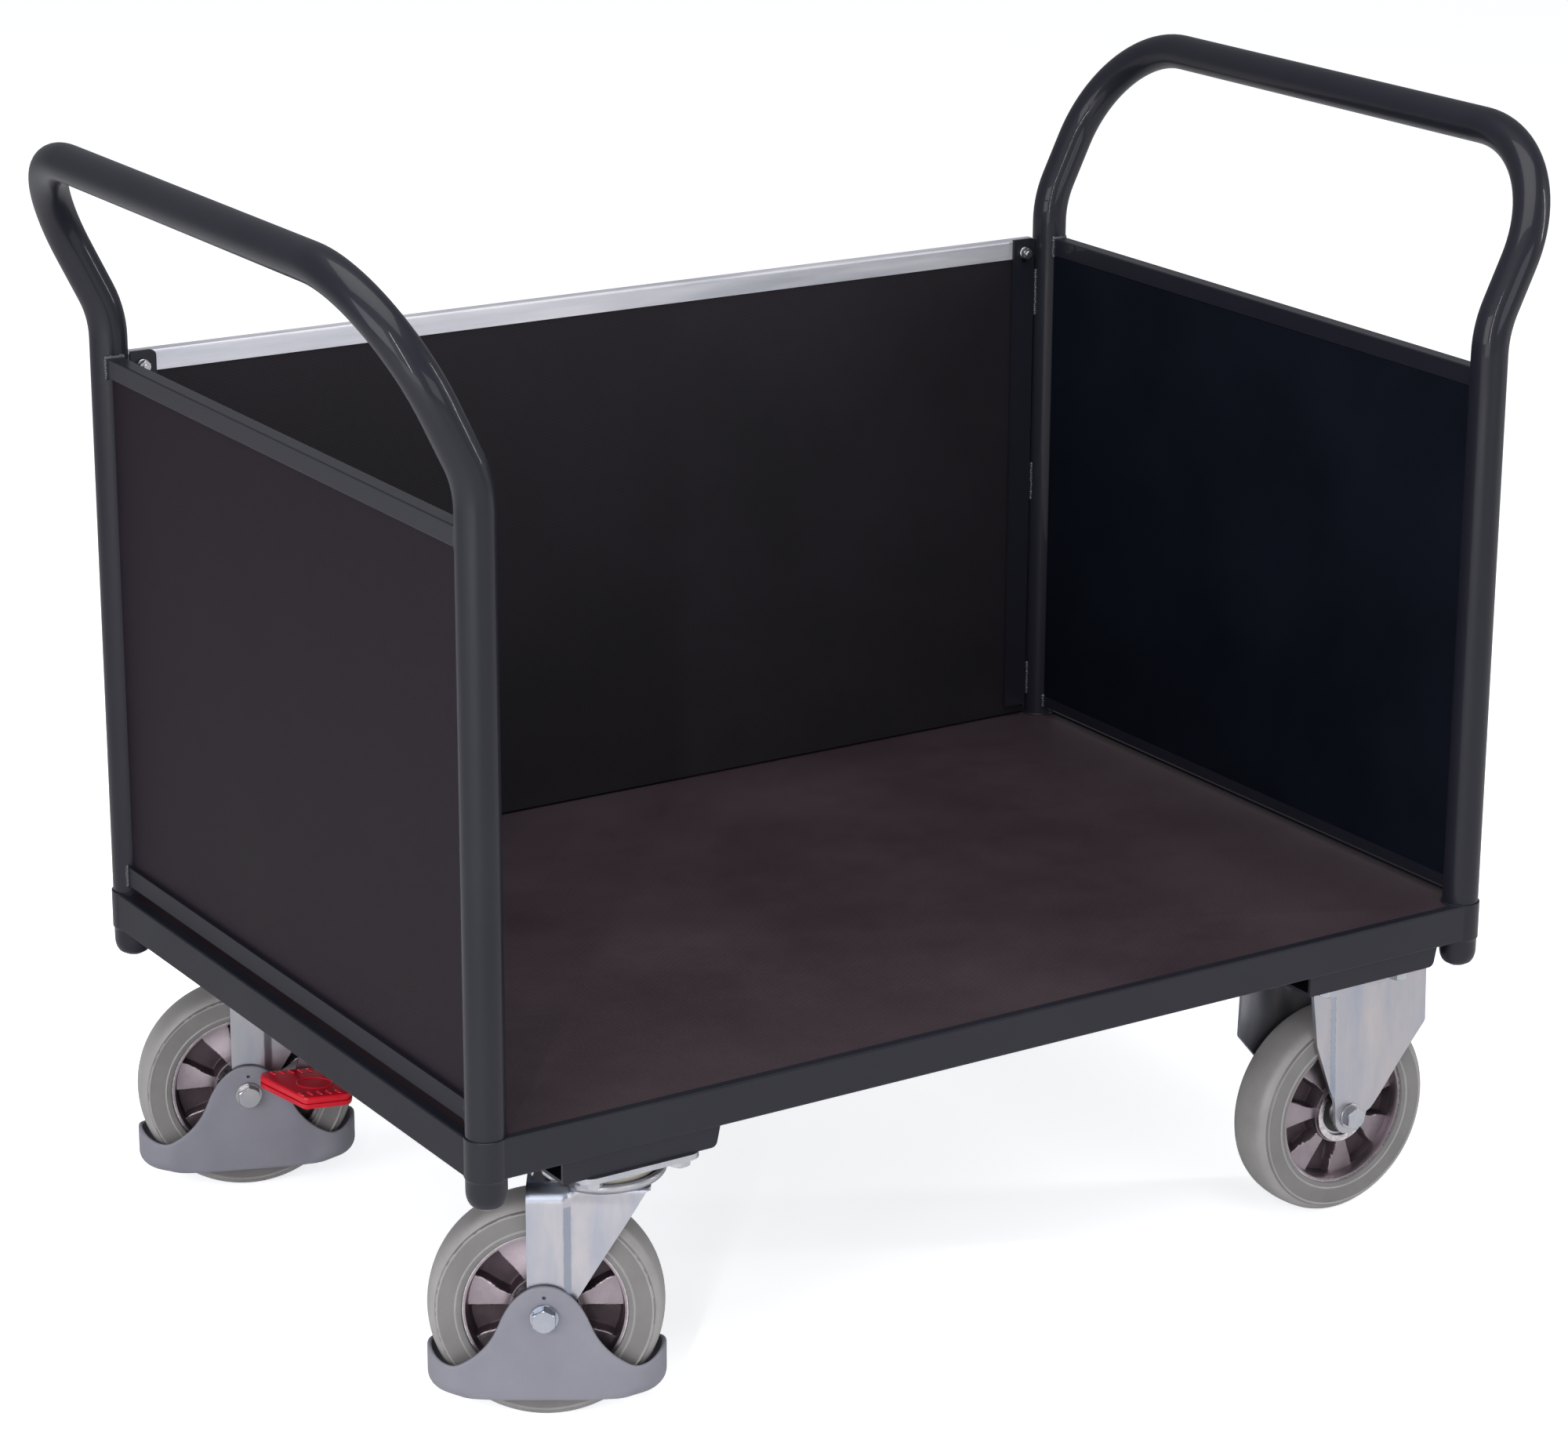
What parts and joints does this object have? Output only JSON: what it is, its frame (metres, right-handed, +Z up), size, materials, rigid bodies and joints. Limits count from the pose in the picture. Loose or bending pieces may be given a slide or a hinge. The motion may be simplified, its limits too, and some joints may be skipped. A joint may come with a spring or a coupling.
{
  "type": "three-sided platform trolley",
  "caption": "Platform trolley with solid end and back walls, bent tube push handles, swivel castors with foot guards at one end and fixed castors at the other.",
  "frame": {"origin": "on the floor, under the middle of the trolley and of its castors at rest", "axes": "+Z up, +X towards the fixed castors, -Y towards the open long side"},
  "size_m": [1.2176, 0.7236, 1.0188],
  "materials": {
    "frame_paint": "satin anthracite powder coat",
    "deck_ply": "dark brown film-faced plywood with a fine twill print",
    "wall_ply": "very dark brown film-faced board, low sheen",
    "galvanised_edge": "bright galvanised sheet",
    "zinc_pressing": "bright zinc-plated pressed steel",
    "zinc_fixings": "zinc-plated fixings",
    "tread_rubber": "matt non-marking grey rubber",
    "cast_rim": "die-cast, bead-blasted",
    "guard_plastic": "grey moulded, fine grain",
    "pedal_plastic": "red moulded, half gloss",
    "seal_ring": "cream moulded ring"
  },
  "bodies": {
    "cart": {"axle_set_back_right": "zinc_fixings", "axle_set_front_right": "zinc_fixings", "back_bracket_left": "frame_paint", "back_bracket_right": "frame_paint", "back_panel": "wall_ply", "back_panel_channel": "galvanised_edge", "bracket_bolts": "zinc_fixings", "castor_cross_member_left": "frame_paint", "castor_cross_member_right": "frame_paint", "castor_plate_bolts": "zinc_fixings", "corner_socket_back_left": "frame_paint", "corner_socket_back_right": "frame_paint", "corner_socket_front_left": "frame_paint", "corner_socket_front_right": "frame_paint", "deck_bearers": "frame_paint", "deck_panel": "deck_ply", "end_panel_left": "wall_ply", "end_panel_right": "wall_ply", "end_tube_left": "frame_paint", "end_tube_right": "frame_paint", "fixed_fork_back_right": "zinc_pressing", "fixed_fork_front_right": "zinc_pressing", "frame_rail_back": "frame_paint", "frame_rail_front": "frame_paint", "frame_rail_left": "frame_paint", "frame_rail_right": "frame_paint", "kingpin_back_left": "zinc_pressing", "kingpin_front_left": "zinc_pressing", "lower_rail_left": "frame_paint", "lower_rail_right": "frame_paint", "socket_bolts": "zinc_fixings", "swivel_plate_back_left": "zinc_pressing", "swivel_plate_front_left": "zinc_pressing", "swivel_seal_back_left": "seal_ring", "swivel_seal_front_left": "seal_ring", "upper_rail_left": "frame_paint", "upper_rail_right": "frame_paint"},
    "swivel_front_left": {"swivel_fork_front_left": "zinc_pressing", "foot_guard_front_left": "guard_plastic", "axle_set_front_left": "zinc_fixings"},
    "swivel_back_left": {"swivel_fork_back_left": "zinc_pressing", "foot_guard_back_left": "guard_plastic", "axle_set_back_left": "zinc_fixings"},
    "wheel_front_left": {"tyre_front_left": "tread_rubber", "rim_front_left": "cast_rim", "wheel_bearings_front_left": "zinc_fixings"},
    "wheel_back_left": {"tyre_back_left": "tread_rubber", "rim_back_left": "cast_rim", "wheel_bearings_back_left": "zinc_fixings"},
    "wheel_front_right": {"tyre_front_right": "tread_rubber", "rim_front_right": "cast_rim", "wheel_bearings_front_right": "zinc_fixings"},
    "wheel_back_right": {"tyre_back_right": "tread_rubber", "rim_back_right": "cast_rim", "wheel_bearings_back_right": "zinc_fixings"},
    "brake": {"brake_pedal": "pedal_plastic", "brake_lever": "zinc_pressing", "brake_shoe": "zinc_pressing", "brake_pin": "zinc_pressing"}
  },
  "joints": [
    {"name": "swivel_front_left_turn", "type": "hinge", "parent": "cart", "child": "swivel_front_left", "pos_m": [-0.376, -0.288, 0.23], "axis": [0, 0, 1], "continuous": true},
    {"name": "swivel_back_left_turn", "type": "hinge", "parent": "cart", "child": "swivel_back_left", "pos_m": [-0.376, 0.288, 0.23], "axis": [0, 0, 1], "continuous": true},
    {"name": "wheel_front_left_spin", "type": "hinge", "parent": "swivel_front_left", "child": "wheel_front_left", "pos_m": [-0.41737, -0.26174, 0.1], "axis": [0.5358, 0.8443, 0], "continuous": true},
    {"name": "wheel_back_left_spin", "type": "hinge", "parent": "swivel_back_left", "child": "wheel_back_left", "pos_m": [-0.42174, 0.30556, 0.1], "axis": [0.3584, 0.9336, 0], "continuous": true},
    {"name": "wheel_front_right_spin", "type": "hinge", "parent": "cart", "child": "wheel_front_right", "pos_m": [0.408, -0.288, 0.1], "axis": [0, 1, 0], "continuous": true},
    {"name": "wheel_back_right_spin", "type": "hinge", "parent": "cart", "child": "wheel_back_right", "pos_m": [0.408, 0.288, 0.1], "axis": [0, 1, 0], "continuous": true},
    {"name": "brake_pedal_hinge", "type": "hinge", "parent": "swivel_back_left", "child": "brake", "pos_m": [-0.3704, 0.28585, 0.192], "axis": [0.3584, 0.9336, 0], "range_deg": [0, 12]}
  ]
}
